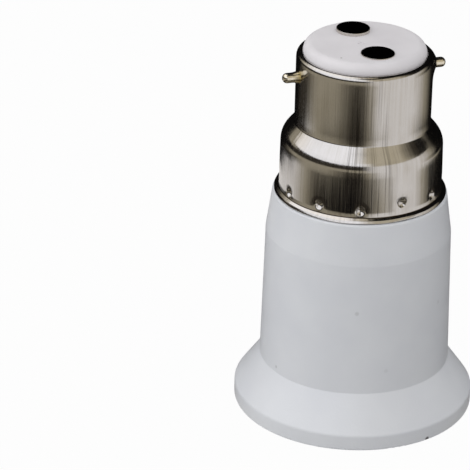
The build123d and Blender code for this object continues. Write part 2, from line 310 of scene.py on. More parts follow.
def solid_piece(name: str, points: np.ndarray, faces: list[list[int]]) -> Piece:
    """Mesh piece from points in mm, with its faces turned outward.

    Args:
        name: Name of the piece.
        points: Points in mm, one row each.
        faces: Point numbers of each face.

    Returns:
        The new object, linked to the scene.
    """
    mesh = bpy.data.meshes.new(name)
    mesh.from_pydata((points * MM).tolist(), [], faces)
    shape = bmesh.new()
    shape.from_mesh(mesh)
    bmesh.ops.recalc_face_normals(shape, faces=shape.faces)
    shape.to_mesh(mesh)
    shape.free()
    mesh.shade_smooth()
    mesh.set_sharp_from_angle(angle=SHARP_EDGE)
    piece = bpy.data.objects.new(name, mesh)
    bpy.context.scene.collection.objects.link(piece)
    return piece


@dataclass(frozen=True)
class Finish:
    """A surface as it was made, with how it takes colour and light."""

    name: str

    def pattern(self, on: Drawing) -> Inputs:
        """How the surface takes colour and light.

        Args:
            on: Drawing of the material.

        Returns:
            Shader inputs: what feeds each, or its value where it is the same all over.
        """
        raise NotImplementedError

    def material(self) -> bpy.types.Material:
        """Material of this finish, made once.

        Returns:
            The material, new or as it was made before.
        """
        made = bpy.data.materials.get(self.name)
        if made is None:
            made = bpy.data.materials.new(self.name)
            on = Drawing(made)
            shader = on.add("ShaderNodeBsdfPrincipled", self.pattern(on))
            on.add("ShaderNodeOutputMaterial", {"Surface": shader})
        return made

    def dress(self, piece: Piece) -> None:
        """Give a piece this finish in place of what it had."""
        piece.data.materials.clear()
        piece.data.materials.append(self.material())


@dataclass(frozen=True)
class MouldedThermoplastic(Finish):
    """White PBT from a polished mould.

    It is bright and semi-glossy, with a faint orange peel, cloudy patches a few
    millimetres wide, a few specks of dust caught in the surface and the small scuffs and
    nicks of handling. Specks and peel are drawn a few times coarser than real ones, which
    would be too fine to show.
    """

    white: str = "#D8DADE"
    shade: str = "#D3D5DA"
    refraction: float = 1.5
    patch: float = 7.0
    gloss: Span = (0.30, 0.40)
    gloss_patch: float = 2.5
    peel: float = 0.45
    peel_depth: float = 0.004
    speck: str = "#8F8A84"
    speck_spacing: float = 5.0
    speck_size: float = 0.42
    speck_rarity: float = 0.55
    mark: str = "#3E3B3A"
    mark_fade: Span = (1.3, 0.6)  # where a mark starts and is full, in shares of its radius
    marks: tuple[Spot, ...] = ()  # x, y, z, radius and strength of each

    def pattern(self, on: Drawing) -> Inputs:
        """Cloudy white, sparse specks, marks of handling, uneven gloss and orange peel.

        Args:
            on: Drawing of the material.

        Returns:
            Shader inputs.
        """
        cloud = on.uneven(self.patch)
        whites = {UNDER: linear(self.white), OVER: linear(self.shade)}
        colour = on.add(MIX, {SHARE: cloud, **whites}, **RGBA)
        scale = 1 / (self.speck_spacing * MM)
        cells = on.add("ShaderNodeTexVoronoi", {"Vector": on.place, "Scale": scale}).outputs
        reach = self.speck_size / self.speck_spacing / 2
        near = on.add(MATH, {0: cells["Distance"], 1: reach}, operation="LESS_THAN")
        some = on.add(MATH, {0: cells["Color"], 1: self.speck_rarity}, operation="GREATER_THAN")
        speck = on.add(MATH, {0: near, 1: some}, operation="MULTIPLY")
        colour = on.add(MIX, {SHARE: speck, UNDER: colour, OVER: linear(self.speck)}, **RGBA)
        for *point, radius, strength in self.marks:
            centre = tuple(value * MM for value in point)
            away = on.add(VECTOR_MATH, {0: on.place, 1: centre}, operation="DISTANCE")
            start, full = (share * radius * MM for share in self.mark_fade)
            edge = {"Value": away, "From Min": start, "From Max": full, "To Max": strength}
            marked = {SHARE: on.add(MAP_RANGE, edge), UNDER: colour, OVER: linear(self.mark)}
            colour = on.add(MIX, marked, **RGBA)
        peel = on.uneven(self.peel, fineness=1.0)
        return {
            "Base Color": colour,
            "IOR": self.refraction,
            "Roughness": on.uneven(self.gloss_patch, self.gloss),
            "Normal": on.add(BUMP, {"Height": peel, "Distance": self.peel_depth * MM}),
        }


@dataclass(frozen=True)
class StreakedMetal(Finish):
    """Bare or plated metal with lines that its making left in one direction.

    The lines spread each reflection across themselves, so that it breaks up into
    fine bright and dark streaks along the lines. Real lines are a few hundredths of a
    millimetre wide and would not show, so they are drawn several times as wide.
    """

    bright: str = "#D3D1D0"
    dull: str = "#B7B2A8"
    line: Corner = (0.5, 0.5, 30.0)
    line_depth: float = 0.006
    line_fineness: float = 3.0
    gloss: Span = (0.1, 0.2)
    gloss_lines: float = 3.0  # lines of gloss to one line of the surface
    stain: float = 4.0
    stain_strength: float = 0.6

    def unrolled(self, on: Drawing) -> Source:
        """Position in which the lines run straight."""
        return on.place

    def wear_and_painted_shade(self, on: Drawing, colour: Source, run: Source) -> Source:
        """Colour after any wear or painted shade that a finish adds."""
        return colour

    def pattern(self, on: Drawing) -> Inputs:
        """Lines in the surface and its gloss, and faint stains in its colour.

        Args:
            on: Drawing of the material.

        Returns:
            Shader inputs.
        """
        run = self.unrolled(on)
        lines = on.uneven(self.line, fineness=self.line_fineness, place=run)
        stain = on.uneven(self.stain, (0.0, self.stain_strength))
        share = on.add(MATH, {0: lines, 1: stain}, operation="MULTIPLY")
        plates = {UNDER: linear(self.bright), OVER: linear(self.dull)}
        colour = on.add(MIX, {SHARE: share, **plates}, **RGBA)
        fine = tuple(size / self.gloss_lines for size in self.line)
        return {
            "Base Color": self.wear_and_painted_shade(on, colour, run),
            "Metallic": 1.0,
            "Roughness": on.uneven(fine, self.gloss, place=run),
            "Normal": on.add(BUMP, {"Height": lines, "Distance": self.line_depth * MM}),
        }


@dataclass(frozen=True)
class DeepDrawnNickel(StreakedMetal):
    """Nickel plate on steel sheet that was deep-drawn into a sleeve.

    The die left lines up the walls and straight out over the step. Thin dark streaks are
    painted along the lines on the front of the cap as painted reflection, and a thin brown
    line round the crease above the hem is painted shade.
    """

    radius: float = 12.0
    # Painted reflection: the settings below paint dark streaks along the lines on the front of the
    # cap, stronger lower down and none on the hem.
    painted_streaks: str = "#3A352C"
    painted_streak_angle: float = 254.0
    painted_streak_reach: Span = (24.0, 8.0)
    painted_streak_height: Span = (60.0, 45.0)
    painted_streak_strength: Span = (0.25, 0.7)
    painted_streak_foot: Span = (38.4, 39.4)
    painted_streak_size: Corner = (0.27, 0.27, 14.0)
    # Painted shade: a thin brown line round the crease above the hem.
    painted_crease_shade: str = "#4A3F30"
    crease: Span = (38.49, 0.06)

    def unrolled(self, on: Drawing) -> Source:
        """Position pressed onto one cylinder, so that the lines keep to their angle about the axis.

        Args:
            on: Drawing of the material.

        Returns:
            Source of the position.
        """
        flat = on.add(VECTOR_MATH, {0: on.place, 1: (1, 1, 0)}, operation="MULTIPLY")
        out = on.add(VECTOR_MATH, {0: flat}, operation="NORMALIZE")
        wide = on.add(VECTOR_MATH, {0: out, "Scale": self.radius * MM}, operation="SCALE")
        lift = on.add(VECTOR_MATH, {0: on.place, 1: (0, 0, 1)}, operation="MULTIPLY")
        return on.add(VECTOR_MATH, {0: wide, 1: lift}, operation="ADD")

    def wear_and_painted_shade(self, on: Drawing, colour: Source, run: Source) -> Source:
        """Painted dark reflection streaks on the front of the sheet, and a painted shade line in
        the crease.

        Args:
            on: Drawing of the material.
            colour: Colour of the plain plate.
            run: Position in which the lines run straight.

        Returns:
            Source of the new colour.
        """
        angle, radius = math.radians(self.painted_streak_angle), self.radius * MM
        side = (math.cos(angle) / radius, math.sin(angle) / radius, 0)
        facing = on.add(VECTOR_MATH, {0: run, 1: side}, operation="DOT_PRODUCT")
        height = on.add("ShaderNodeSeparateXYZ", {0: run}).outputs["Z"]
        wide, narrow = (math.cos(math.radians(reach)) for reach in self.painted_streak_reach)
        high, low = (level * MM for level in self.painted_streak_height)
        none, full = (level * MM for level in self.painted_streak_foot)
        faint, strong = self.painted_streak_strength
        depth = on.uneven(self.painted_streak_size, (-1.0, 1.0), place=run)
        for limits in (
            {"Value": facing, "From Min": wide, "From Max": narrow},
            {"Value": height, "From Min": high, "From Max": low, "To Min": faint, "To Max": strong},
            {"Value": height, "From Min": none, "From Max": full},
        ):
            share = on.add(MAP_RANGE, limits)
            depth = on.add(MATH, {0: depth, 1: share}, operation="MULTIPLY", use_clamp=True)
        # painted reflection: dark streaks on the front mixed into the colour
        painted_streaks = on.add(MIX, {SHARE: depth, UNDER: colour, OVER: linear(self.painted_streaks)}, **RGBA)
        # painted shade: a thin brown line round the crease above the hem
        middle, reach = (size * MM for size in self.crease)
        creased = on.add(MATH, {0: height, 1: middle, 2: reach}, operation="COMPARE")
        return on.add(MIX, {SHARE: creased, UNDER: painted_streaks, OVER: linear(self.painted_crease_shade)}, **RGBA)


@dataclass(frozen=True)
class RivetedBrassPin(StreakedMetal):
    """Turned brass pin, nickel-plated and then riveted through the sheet.

    Its tip is pale and softly bright, and the root, which the riveting pressed against the
    sheet, is worn through to yellowish brass.
    """

    root: str = "#B9A878"
    root_end: Span = (12.2, 11.0)

    def wear_and_painted_shade(self, on: Drawing, colour: Source, run: Source) -> Source:
        """Brass round the root.

        Args:
            on: Drawing of the material.
            colour: Colour of the plating.
            run: Position on the piece, in metres.

        Returns:
            Source of the new colour.
        """
        along = on.add("ShaderNodeSeparateXYZ", {0: run}).outputs["X"]
        out = on.add(MATH, {0: along}, operation="ABSOLUTE")
        tip, root = (end * MM for end in self.root_end)
        worn = on.add(MAP_RANGE, {"Value": out, "From Min": tip, "From Max": root})
        return on.add(MIX, {SHARE: worn, UNDER: colour, OVER: linear(self.root)}, **RGBA)


@dataclass(frozen=True)
class TurnedBlackContact(Finish):
    """Nickel-plated stud, turned on a lathe, with a contact face that is oxidised black.

    The face is nearly black and satin, with faint rings about its own centre, drawn
    wider apart than the lathe's feed so that they show. The plated side of the head is a
    thin bright line under it.
    """

    black: str = "#070607"
    worn: str = "#121112"
    worn_patch: float = 0.9
    worn_fineness: float = 4.0
    plated: str = "#D0CBC4"
    gloss: Span = (0.22, 0.36)
    gloss_patch: float = 0.6
    ring: float = 0.22
    ring_depth: float = 0.002
    ring_wander: float = 0.6
    centre: Span = (0.0, 0.0)
    face: float = 63.5
    face_edge: float = 0.05

    def pattern(self, on: Drawing) -> Inputs:
        """Lathe rings and rubbed patches on the black face, bright plate below its edge.

        Args:
            on: Drawing of the material.

        Returns:
            Shader inputs.
        """
        x, y = (-value * MM for value in self.centre)
        centred = on.add("ShaderNodeMapping", {"Vector": on.place, "Location": (x, y, 0.0)})
        scale = math.pi / 10 / (self.ring * MM)  # at a scale of 1, rings lie pi / 10 apart
        rings = on.add(
            "ShaderNodeTexWave",
            {"Vector": centred, "Scale": scale, "Distortion": self.ring_wander},
            wave_type="RINGS",
            rings_direction="Z",
        ).outputs["Fac"]
        rubbed = on.uneven(self.worn_patch, fineness=self.worn_fineness)
        blacks = {UNDER: linear(self.black), OVER: linear(self.worn)}
        face = on.add(MIX, {SHARE: rubbed, **blacks}, **RGBA)
        height = on.add("ShaderNodeSeparateXYZ", {0: on.place}).outputs["Z"]
        edge = (self.face - self.face_edge) * MM
        on_face = on.add(MATH, {0: height, 1: edge}, operation="GREATER_THAN")
        plated = {SHARE: on_face, UNDER: linear(self.plated), OVER: face}
        return {
            "Base Color": on.add(MIX, plated, **RGBA),
            "Metallic": 1.0,
            "Roughness": on.uneven(self.gloss_patch, self.gloss),
            "Normal": on.add(BUMP, {"Height": rings, "Distance": self.ring_depth * MM}),
        }


@dataclass(frozen=True)
class ExtrudedCover(Finish):
    """PVC cover of a lead, with its wire bare and tinned at both ends.

    The cover is matt with a fine grain, drawn coarser than the real one so that it shows,
    and the bare ends are bright metal.
    """

    cover: str = "#5B3A22"
    scuffed: str = "#6E4C33"
    tinned: str = "#C9C6C0"
    ends: Span = (34.15, 58.95)
    grain: float = 0.3
    grain_depth: float = 0.004
    grain_fineness: float = 3.0
    gloss: Span = (0.35, 0.5)
    gloss_patch: float = 0.8

    def pattern(self, on: Drawing) -> Inputs:
        """Grained cover between the two bare ends.

        Args:
            on: Drawing of the material.

        Returns:
            Shader inputs.
        """
        height = on.add("ShaderNodeSeparateXYZ", {0: on.place}).outputs["Z"]
        low, high = (end * MM for end in self.ends)
        middle, reach = (low + high) / 2, (high - low) / 2
        covered = on.add(MATH, {0: height, 1: middle, 2: reach}, operation="COMPARE")
        grain = on.uneven(self.grain, fineness=self.grain_fineness)
        covers = {UNDER: linear(self.cover), OVER: linear(self.scuffed)}
        plastic = on.add(MIX, {SHARE: grain, **covers}, **RGBA)
        wire = {SHARE: covered, UNDER: linear(self.tinned), OVER: plastic}
        return {
            "Base Color": on.add(MIX, wire, **RGBA),
            "Metallic": on.add(MATH, {0: 1.0, 1: covered}, operation="SUBTRACT"),
            "Roughness": on.uneven(self.gloss_patch, self.gloss),
            "Normal": on.add(BUMP, {"Height": grain, "Distance": self.grain_depth * MM}),
        }


@dataclass
class BayonetCap:
    """Plated sleeve in two steps: turned-out hem, dimpled drum, step, sleeve and rolled rim."""

    sheet: float = 0.4
    hem_radius: float = 13.7
    hem_bottom: float = 38.05
    hem_height: float = 0.42
    hem_edge: tuple[Corner, ...] = (  # leans out and down onto the body
        (13.7, 37.63, 0.0),
        (13.87, 37.63, 0.04),
        (13.87, 37.72, 0.04),
        (13.68, 38.1, 0.15),
    )
    hem_round: float = 0.3
    hem_lift: float = 0.05
    hem_waves: tuple[Corner, ...] = ((0.04, 5, 0.8), (0.035, 11, 2.1))
    hem_edge_share: float = 1.2  # most that the edge takes of the hem's wave
    foot_flare: float = 0.08
    foot_height: float = 39.15
    foot_round: float = 3.0
    drum_radius: float = 13.15
    drum_taper: float = 0.15
    drum_top: float = 47.15
    drum_round: float = 3.0
    step_top: float = 49.65
    step_round: float = 0.5
    sleeve_radius: float = 10.9
    sleeve_top: float = 61.35
    rim_inturn: float = 0.95
    rim_lean: Span = (0.06, 1.2)
    rim_round: float = 0.9
    lean_round: float = 6.0
    dimple_height: float = 39.8
    dimple_first_angle: float = 10.8
    dimple_wander: tuple[float, ...] = (
        *(0.1, -0.2, 0.3, 0.0, -0.3, 0.2),
        *(-0.4, -0.1, -0.2, 0.55, -0.05, 0.15),
    )
    dimple_ball: float = 0.85
    dimple_depth: float = 0.45
    dimple_lip: float = 0.03
    dish_radius: float = 1.6
    dish_depth: float = 0.09
    # Sheet pushed out round both pins, and the rim's side bent out over the right one:
    # angle, height, half width, half height and lift of each place.
    raised: tuple[Spot, ...] = (
        (180.0, 58.2, 1.3, 1.3, 0.16),
        (0.0, 58.2, 1.3, 1.3, 0.16),
        (-8.0, 59.3, 2.5, 1.35, 0.75),
    )
    out_of_round: tuple[Corner, ...] = ((0.012, 3, 0.4), (0.008, 7, 1.9))
    shrink: float = 0.02  # keeps the out-of-round sheet inside its true size
    outer_step: float = 1.2
    inner_step: float = 0.4
    fine_rows: tuple[Corner, ...] = ((38.75, 41.35, 0.1), (55.4, 60.3, 0.22))
    columns_per_dimple: int = 38
    column_spread: Span = (0.35, 0.65)  # even share and crowded share of the columns' spacing
    finish: Finish = DeepDrawnNickel("nickel_plate_on_drawn_sheet")

    def wall(self) -> list[Corner]:
        """Corners of the outer face above the hem.

        Returns:
            Radius, height and rounding of each, from the hem to the rim.
        """
        inward, down = self.rim_lean
        return [
            (self.drum_radius + self.foot_flare, self.hem_bottom + self.hem_height, self.hem_round),
            (self.drum_radius, self.foot_height, self.foot_round),
            (self.drum_radius - self.drum_taper, self.drum_top, self.drum_round),
            (self.sleeve_radius, self.step_top, self.step_round),
            (self.sleeve_radius, self.sleeve_top - down, self.lean_round),
            (self.sleeve_radius - inward, self.sleeve_top, self.rim_round),
            (self.sleeve_radius - self.rim_inturn, self.sleeve_top, 0.0),
        ]

    def section(self) -> np.ndarray:
        """Closed outline of the sheet: the hem's edge, up the outer face and down the inner one.

        Returns:
            Radius and height of each point, in mm.
        """
        outer = rounded_line([*self.hem_edge, *self.wall()], self.outer_step)
        for low, high, gap in self.fine_rows:
            rows = np.arange(low, high, gap)
            band = np.stack([np.interp(rows, outer[:, 1], outer[:, 0]), rows], axis=1)
            start, end = (int(np.argmax(outer[:, 1] > level)) for level in (low, high))
            outer = np.concatenate([outer[:start], band, outer[end:]])
        foot = (self.hem_radius, self.hem_bottom, 0.0)
        plain = rounded_line([foot, *self.wall()], self.inner_step)
        return np.concatenate([outer, beside(plain, self.sheet)[::-1]])

    def pressed(self, heights: np.ndarray, angles: np.ndarray) -> np.ndarray:
        """How far the crimp dimples push the sheet in, and the riveted pins push it out.

        Args:
            heights: Height of each ring of the sheet, in mm.
            angles: Angles round each ring.

        Returns:
            Depth in mm, shaped rings by angles.
        """
        depth = np.zeros((len(heights), len(angles)))
        spacing = 360 / len(self.dimple_wander)
        for number, wander in enumerate(self.dimple_wander):
            turn = turned_from(angles, self.dimple_first_angle + number * spacing)
            rise = heights - self.dimple_height - wander
            distance = np.hypot(self.drum_radius * turn[None, :], rise[:, None])
            ball = np.sqrt(np.clip(self.dimple_ball**2 - distance**2, 0, None))
            pit = ball - self.dimple_ball + self.dimple_depth
            depth += self.dimple_lip * np.logaddexp(0, pit / self.dimple_lip)
            depth += self.dish_depth * np.clip(1 - (distance / self.dish_radius) ** 2, 0, None) ** 2
        for angle, height, wide, tall, lift in self.raised:
            across = self.sleeve_radius * turned_from(angles, angle) / wide
            rise = (heights - height) / tall
            depth -= lift * np.exp(-(across[None, :] ** 2) - rise[:, None] ** 2)
        return depth

    def angles(self) -> np.ndarray:
        """Angles round the cap, closer together where the dimples are.

        Returns:
            Angles in order, one for each column of the mesh.
        """
        count = len(self.dimple_wander)
        even, crowded = self.column_spread
        share = np.linspace(-1, 1, self.columns_per_dimple, endpoint=False)
        near = (even * share + crowded * share**3) * math.pi / count
        centres = math.radians(self.dimple_first_angle) + FULL_TURN * np.arange(count) / count
        return (centres[:, None] + near[None, :]).ravel()

    def build(self) -> Piece:
        """Cap with its dimples, hem and rim, in its plating.

        Returns:
            The cap's piece.
        """
        outline = self.section()
        angles = self.angles()
        radii = outline[:, :1] - self.pressed(outline[:, 1], angles)
        radii = radii + ripple(angles, self.out_of_round) - self.shrink
        below = (self.hem_bottom + self.hem_height - outline[:, 1:]) / self.hem_height
        share = np.clip(below, 0, self.hem_edge_share)
        wave = self.hem_lift + ripple(angles, self.hem_waves)
        rings = around(radii, outline[:, 1:] + share * wave, angles)
        piece = swept_piece("bayonet_cap_shell", rings, joined=True)
        self.finish.dress(piece)
        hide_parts("bayonet_cap")
        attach(piece, Body.ADAPTER.value)
        return piece


@dataclass
class BayonetPin:
    """Pin riveted through the cap's wall: flat head inside, soft collar outside and a round tip."""

    side: Side
    height: float = 58.2
    head: Span = (9.7, 10.25)
    head_radius: float = 1.6
    shank_radius: float = 0.82
    collar: Span = (10.78, 1.08)
    collar_edge: float = 0.1
    collar_end: float = 11.9
    collar_round: float = 2.0
    tip: float = 13.65
    tip_round: float = 0.76
    tip_flat: float = 0.04
    step: float = 0.3
    columns: int = 64
    finish: Finish = RivetedBrassPin(
        "nickel_plated_brass_riveted",
        bright="#EDE7D8",
        dull="#C9BF9F",
        line=(0.3, 1.2, 1.2),
        line_depth=0.003,
        gloss=(0.14, 0.26),
        stain=0.8,
    )

    def build(self) -> Piece:
        """Pin turned about its own axis, in its worn plating.

        Returns:
            The pin's piece.
        """
        seat, collar_radius = self.collar
        inside, outside = self.head
        corners = [
            (inside, self.tip_flat, 0.0),
            (inside, self.head_radius, 0.0),
            (outside, self.head_radius, 0.0),
            (outside, self.shank_radius, 0.0),
            (seat, self.shank_radius, 0.0),
            (seat, collar_radius, self.collar_edge),
            (self.collar_end, self.shank_radius, self.collar_round),
            (self.tip, self.shank_radius, self.tip_round),
            (self.tip, self.tip_flat, 0.0),
        ]
        outline = rounded_line(corners, self.step)
        angles = np.linspace(0, FULL_TURN, self.columns, endpoint=False)
        out, radii = self.side.value * outline[:, :1] + 0 * angles, outline[:, 1:]
        across, up = radii * np.cos(angles), self.height + radii * np.sin(angles)
        rows = np.stack([out, across, up], axis=-1)
        name = f"bayonet_pin_{self.side.name.lower()}"
        piece = swept_piece(f"{name}_riveted", rows, joined=False)
        self.finish.dress(piece)
        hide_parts(name)
        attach(piece, Body.ADAPTER.value)
        return piece


@dataclass
class ScrewShell:
    """Drawn brass cup with the lamp thread rolled into its wall."""

    sheet: float = 0.4
    groove_radius: float = 13.3
    thread_depth: float = 1.05
    pitch: float = 3.629
    mouth: float = 9.6
    thread_top: float = 23.8
    run_in: float = 1.5
    run_out: float = 1.3
    wall_radius: float = 12.15
    wall_bottom: float = 24.95
    wall_round: float = 0.5
    corner: float = 2.4
    floor: float = 29.75
    hole_radius: float = 7.4
    step: float = 0.24
    columns: int = 288
    finish: Finish = StreakedMetal(
        "brass_cup_rolled_thread",
        bright="#DDB052",
        dull="#B5822F",
        line=(6.0, 6.0, 0.22),
        line_depth=0.0012,
        gloss=(0.14, 0.26),
        stain=3.0,
    )

    def face_line(self) -> np.ndarray:
        """Inner face before the thread: up from the mouth, round the corner and over the floor.

        Returns:
            Radius and height of each point, in mm.
        """
        corners = [
            (self.groove_radius, self.mouth, 0.0),
            (self.groove_radius, self.thread_top, self.wall_round),
            (self.wall_radius, self.wall_bottom, self.wall_round),
            (self.wall_radius, self.floor, self.corner),
            (self.hole_radius, self.floor, 0.0),
        ]
        return rounded_line(corners, self.step)

    def build(self) -> Piece:
        """Cup with a right-hand thread that runs in at the mouth and out at the plain wall.

        Returns:
            The cup's piece.
        """
        face = self.face_line()
        outline = np.concatenate([face, beside(face, -self.sheet)[::-1]])
        angles = np.linspace(0, FULL_TURN, self.columns, endpoint=False)
        heights = np.clip(outline[:, 1:], self.mouth, None)
        ease = eased((heights - self.mouth) / self.run_in)
        ease = ease * eased((self.thread_top - heights) / self.run_out)
        wave = (1 + np.cos(FULL_TURN * (heights - self.mouth) / self.pitch - angles)) / 2
        radii = outline[:, :1] - self.thread_depth * ease * wave
        piece = swept_piece("screw_shell_rolled", around(radii, heights, angles), joined=True)
        self.finish.dress(piece)
        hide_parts("screw_shell")
        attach(piece, Body.ADAPTER.value)
        return piece


@dataclass
class CentreContact:
    """Bent spring strip: a riveted foot and a tongue that the lamp presses back."""

    sheet: float = 0.35
    width: float = 3.8
    partition: float = 30.15
    foot_end: float = -5.4
    bend: float = -1.9
    bend_round: float = 1.25
    knee: Span = (1.9, 28.25)
    knee_round: float = 1.6
    tip: Span = (3.7, 28.55)
    end_round: float = 0.9
    edge_round: float = 0.08
    step: float = 0.12
    hinge: Corner = (-2.195, 0.0, 28.9)
    flex: Span = (-0.35, 0.55)  # where the bending starts and ends, along X from the hinge
    finish: Finish = StreakedMetal(
        "phosphor_bronze_rolled_strip",
        bright="#C2A566",
        dull="#96794A",
        line=(9.0, 0.25, 9.0),
        line_depth=0.0015,
        gloss=(0.2, 0.34),
        stain=2.0,
    )

    def rows(self) -> np.ndarray:
        """Sections along the strip, with rounded ends and softened edges.

        Returns:
            Points in mm, shaped sections by points round each by 3.
        """
        corners = [
            (self.foot_end, self.partition, 0.0),
            (self.bend, self.partition, self.bend_round),
            (*self.knee, self.knee_round),
            (*self.tip, 0.0),
        ]
        top = rounded_line(corners, self.step)
        through = beside(top, -self.sheet) - top
        run = np.concatenate([[0], np.cumsum(np.linalg.norm(np.diff(top, axis=0), axis=1))])
        from_end = np.clip(np.minimum(run, run[-1] - run), 0, self.end_round)
        half = self.width / 2 - self.end_round + np.sqrt(from_end * (2 * self.end_round - from_end))
        share, edge = self.edge_round / self.sheet, self.edge_round
        section = [(1, edge, 0), (1, 0, share), (1, 0, 1 - share), (1, edge, 1)]
        section += [(-side, inset, depth) for side, inset, depth in reversed(section)]
        side, inset, depth = np.array(section).T
        along, height = (top[:, i, None] + through[:, i, None] * depth for i in (0, 1))
        return np.stack([along, side * (half[:, None] - inset), height], axis=-1)

    def build(self) -> Piece:
        """Strip in its rest shape, with its transform baked into the mesh.

        Returns:
            The strip's piece.
        """
        piece = swept_piece("centre_contact_strip", self.rows(), joined=False)
        self.finish.dress(piece)
        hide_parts("centre_contact")
        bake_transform(piece)
        return piece


@dataclass
class CadFinishes:
    """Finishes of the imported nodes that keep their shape."""

    moulding: Finish = MouldedThermoplastic(
        "pbt_moulded_white",
        marks=(
            (6.41, -18.45, 0.39, 0.36, 0.95),
            (-4.96, -14.34, 22.56, 0.34, 0.18),
            (-14.86, -4.29, 9.3, 0.26, 0.26),
            (-0.02, -15.4, 12.13, 0.34, 0.08),
            (9.9, -11.53, 21.31, 0.34, 0.1),
        ),
    )
    plate: Finish = MouldedThermoplastic(
        "pbt_moulded_satin", white="#DEDBDE", shade="#D6D3D6", gloss=(0.52, 0.64), peel_depth=0.006
    )
    rivet: Finish = StreakedMetal(
        "zinc_plated_steel_headed",
        bright="#C4C4C2",
        dull="#97938C",
        line=(0.4, 0.4, 0.4),
        line_depth=0.004,
        gloss=(0.26, 0.42),
        stain=0.7,
    )
    live: Finish = ExtrudedCover("pvc_cover_brown")
    neutral: Finish = ExtrudedCover("pvc_cover_blue", cover="#24508E", scuffed="#3A66A2")
    stud_place: Span = (-0.267, 5.093)
    stud_faces: Span = (63.2, 63.5)

    def by_node(self) -> dict[str, Finish]:
        """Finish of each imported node.

        Returns:
            Finishes by the nodes' names.
        """
        x, y = self.stud_place
        low, high = self.stud_faces
        front = TurnedBlackContact("black_contact_front", centre=(-x, -y), face=low)
        rear = TurnedBlackContact("black_contact_rear", centre=(x, y), face=high)
        return {
            "body": self.moulding,
            "contact_plate": self.plate,
            "contact_stud_front": front,
            "contact_stud_rear": rear,
            "centre_contact_rivet": self.rivet,
            "shell_rivet_front": self.rivet,
            "shell_rivet_rear": self.rivet,
            "live_lead": self.live,
            "neutral_lead": self.neutral,
        }

    def dress(self) -> list[str]:
        """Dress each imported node.

        Returns:
            The nodes' names.
        """
        finishes = self.by_node()
        for node, finish in finishes.items():
            finish.dress(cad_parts[node])
        return list(finishes)


@dataclass(frozen=True)
class Viewpoint:
    """Where the photograph was taken from, and how it was framed."""

    azimuth: float = -20.3
    elevation: float = 25.675
    distance: float = 524.0
    roll: float = 2.2
    target_height: float = 30.0
    aim_left: float = 19.97
    aim_down: float = 0.75
    focal: float = 247.5
    sensor: float = 36.0
    clip: Span = (10.0, 20000.0)

    def towards(self, turn: float, elevation: float) -> Vector:
        """Direction from the object, turned from the camera's own direction to its right.

        Args:
            turn: Angle about the object's axis, in degrees.
            elevation: Angle above the floor, in degrees.

        Returns:
            Unit vector.
        """
        a, e = math.radians(self.azimuth + turn), math.radians(elevation)
        return Vector((math.sin(a) * math.cos(e), -math.cos(a) * math.cos(e), math.sin(e)))

    def build(self) -> Piece:
        """Camera at the photograph's viewing angle, made the scene's own.

        Returns:
            The camera.
        """
        back = self.towards(0.0, self.elevation)
        level = self.towards(90.0, 0.0)
        upright = back.cross(level)
        lean = math.radians(self.roll)
        right = level * math.cos(lean) + upright * math.sin(lean)
        up = upright * math.cos(lean) - level * math.sin(lean)
        middle = Vector((0, 0, self.target_height * MM))
        eye = middle + back * self.distance * MM
        looked_at = middle - right * self.aim_left * MM - up * self.aim_down * MM
        ahead = (looked_at - eye).normalized()
        right = ahead.cross(up).normalized()
        up = right.cross(ahead)
        lens = bpy.data.cameras.new("photo_camera")
        lens.sensor_width, lens.lens = self.sensor, self.focal
        lens.clip_start, lens.clip_end = (limit * MM for limit in self.clip)
        camera = bpy.data.objects.new("photo_camera", lens)
        turn = Matrix((right, up, -ahead)).transposed().to_4x4()
        camera.matrix_world = Matrix.Translation(eye) @ turn
        bpy.context.scene.collection.objects.link(camera)
        bpy.context.scene.camera = camera
        return camera


@dataclass(frozen=True)
class Card:
    """Card of the studio: a ring round the object, with tones that run into each other.

    Its edge is a radius and a height. Its stops are tones at angles about the object's axis,
    from the camera's own direction to its right, and the first and the last run on to the back.
    """

    name: str
    edge: Span
    stops: tuple[tuple[float, Tone], ...]
    level: float = 1.0
    columns: int = 120

    def build(self, view: Viewpoint, inner: Span) -> None:
        """Put up the card, which only reflections see.

        Args:
            view: Viewpoint that the card's angles start from.
            inner: Edge of the card before, which this one starts from.
        """
        turns = [turn for turn, _ in self.stops]
        tones = np.array([linear(tone.value) for _, tone in self.stops])
        steps = np.linspace(-180, 180, self.columns + 1)
        ways = np.array([view.towards(float(step), 0.0) for step in steps])
        edges = (inner, self.edge)
        points = [way * radius + (0, 0, height) for radius, height in edges for way in ways]
        after = len(steps)
        faces = [[i, i + 1, after + i + 1, after + i] for i in range(self.columns)]
        card = solid_piece(self.name, np.array(points), faces)
        shades = np.stack([np.interp(steps, turns, channel) for channel in tones.T], axis=1)
        layer = card.data.color_attributes.new("tone", "FLOAT_COLOR", "POINT")
        layer.data.foreach_set("color", np.concatenate([shades, shades]).ravel())
        paint = bpy.data.materials.new(self.name)
        on = Drawing(paint)
        tone = on.add("ShaderNodeAttribute", attribute_name="tone")
        glow = on.add("ShaderNodeEmission", {"Color": tone, "Strength": self.level})
        on.add("ShaderNodeOutputMaterial", {"Surface": glow})
        card.data.materials.append(paint)
        card.visible_camera = card.visible_diffuse = card.visible_shadow = False
        card.visible_transmission = False


@dataclass(frozen=True)
class SoftBox:
    """Soft light that faces the object and lights it without a mirror image of its own."""

    name: str
    turn: float
    elevation: float
    distance: float
    size: Span
    level: float
    aim_height: float = 30.0

    def build(self, view: Viewpoint) -> None:
        """Hang the light.

        Args:
            view: Viewpoint that its turn starts from, to the right.
        """
        lamp = bpy.data.lights.new(self.name, "AREA")
        lamp.shape = "RECTANGLE"
        lamp.size, lamp.size_y = (side * MM for side in self.size)
        lamp.energy = self.level * math.pi * lamp.size * lamp.size_y
        box = bpy.data.objects.new(self.name, lamp)
        away = view.towards(self.turn, self.elevation)
        box.location = Vector((0, 0, self.aim_height * MM)) + away * self.distance * MM
        box.visible_glossy = False
        box.rotation_mode = "QUATERNION"
        box.rotation_quaternion = away.to_track_quat("Z", "Y")
        bpy.context.scene.collection.objects.link(box)


